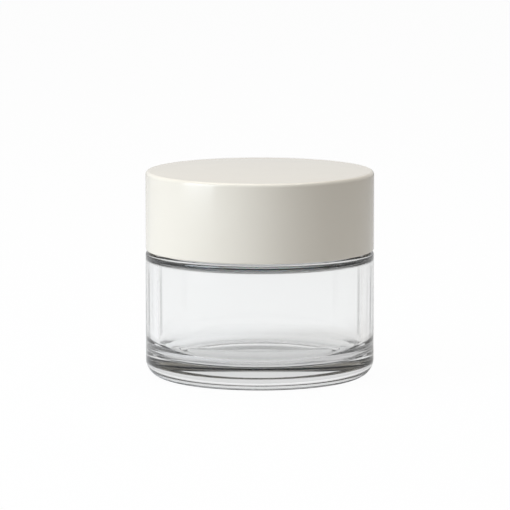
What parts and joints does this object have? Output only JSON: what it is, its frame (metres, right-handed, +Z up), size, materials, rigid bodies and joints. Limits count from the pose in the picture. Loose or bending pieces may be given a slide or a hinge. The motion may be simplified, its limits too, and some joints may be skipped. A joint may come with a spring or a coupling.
{
  "type": "cosmetic cream jar",
  "caption": "Clear thick-walled glass cream jar with a smooth glossy screw cap, foam liner and sealing disc with a finger tab.",
  "frame": {"origin": "middle of the base, on the surface that the jar stands on", "axes": "+Z up along the jar's axis, towards the cap; +X towards the tip of the sealing disc's finger tab"},
  "size_m": [0.058, 0.058, 0.0524],
  "materials": {
    "clear_glass": "polished clear",
    "ivory_plastic": "glossy ivory",
    "white_plastic": "moulded, satin",
    "white_foam": "foam with a smooth skin",
    "soft_white_plastic": "soft, slightly translucent"
  },
  "bodies": {
    "jar": {"glass_jar": "clear_glass"},
    "disc": {"sealing_disc": "soft_white_plastic"},
    "liner": {"cap_liner": "white_foam"},
    "cap": {"outer_cap_shell": "ivory_plastic", "inner_threaded_cap": "white_plastic"}
  },
  "joints": [
    {"name": "cap_turn", "type": "hinge", "parent": "liner", "child": "cap", "pos_m": [0, 0, 0.04], "axis": [0, 0, 1], "range_deg": [0, 1260]},
    {"name": "cap_lift", "type": "slide", "parent": "jar", "child": "liner", "axis": [0, 0, 1], "range_m": [0, 0.0148]},
    {"name": "disc_lift", "type": "slide", "parent": "jar", "child": "disc", "axis": [0, 0, 1], "range_m": [0, 0.0075]}
  ],
  "couplings": [
    {"joint": "cap_lift", "follows": "cap_turn", "m_per_rad": 0.00066845},
    {"joint": "disc_lift", "follows": "cap_turn", "m_per_rad": 0.00033423}
  ]
}
